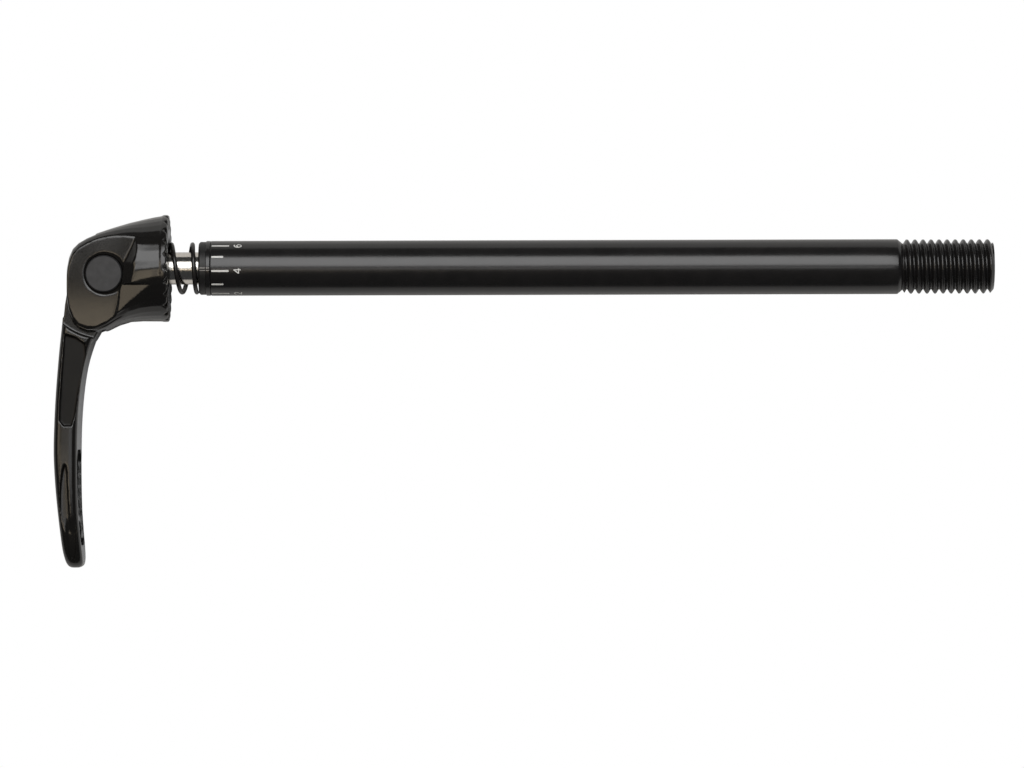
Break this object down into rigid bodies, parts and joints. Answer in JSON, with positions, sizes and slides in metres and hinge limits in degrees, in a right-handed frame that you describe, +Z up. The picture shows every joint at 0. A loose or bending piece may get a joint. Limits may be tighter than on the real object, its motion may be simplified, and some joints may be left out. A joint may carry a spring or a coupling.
{
  "type": "bicycle thru axle",
  "caption": "Black 12 x 142 mm bicycle thru axle with a cam lever, toothed clamp housing, return spring and twelve-position index collar.",
  "frame": {"origin": "on the axle's centreline, half way between the frame's two inner faces (142 mm apart)", "axes": "+X along the axle towards the thread, +Z up as it lies, the closed lever points to -Y"},
  "size_m": [0.2039, 0.0765, 0.0232],
  "materials": {
    "anodised_tube": "satin",
    "anodised_matte": "matte",
    "painted_forging": "gloss",
    "polished_rod": "polished",
    "shaft_steel": "matte",
    "spring_steel": "gloss",
    "plain_steel": "satin",
    "bronze": "satin"
  },
  "bodies": {
    "axle": {"axle_tube": "anodised_tube", "retaining_sleeve": "bronze"},
    "rod": {"draw_rod": "polished_rod", "thrust_washer": "plain_steel", "rod_nut": "plain_steel", "return_spring": "spring_steel"},
    "collar": {"index_collar": "anodised_matte"},
    "housing": {"cam_housing": "painted_forging", "spring_washer": "plain_steel"},
    "lever": {"lever": "painted_forging", "cam_shaft": "shaft_steel", "shaft_clip": "plain_steel"}
  },
  "joints": [
    {"name": "lever_index", "type": "hinge", "parent": "axle", "child": "rod", "pos_m": [-0.079, 0, 0], "axis": [1, 0, 0], "continuous": true},
    {"name": "collar_pull", "type": "slide", "parent": "rod", "child": "collar", "axis": [-1, 0, 0], "range_m": [0, 0.0032], "stiffness_N_per_m": 1500, "springref_m": -0.004, "deforming": ["return_spring"]},
    {"name": "cam_draw", "type": "slide", "parent": "rod", "child": "housing", "axis": [-1, 0, 0], "range_m": [0, 0.00127]},
    {"name": "lever_pivot", "type": "hinge", "parent": "housing", "child": "lever", "pos_m": [-0.1018, -0.00124, 0], "axis": [0, 0, -1], "range_deg": [0, 90]}
  ],
  "couplings": [
    {"joint": "lever_pivot", "follows": "cam_draw", "rad_per_m": 1232.9}
  ]
}
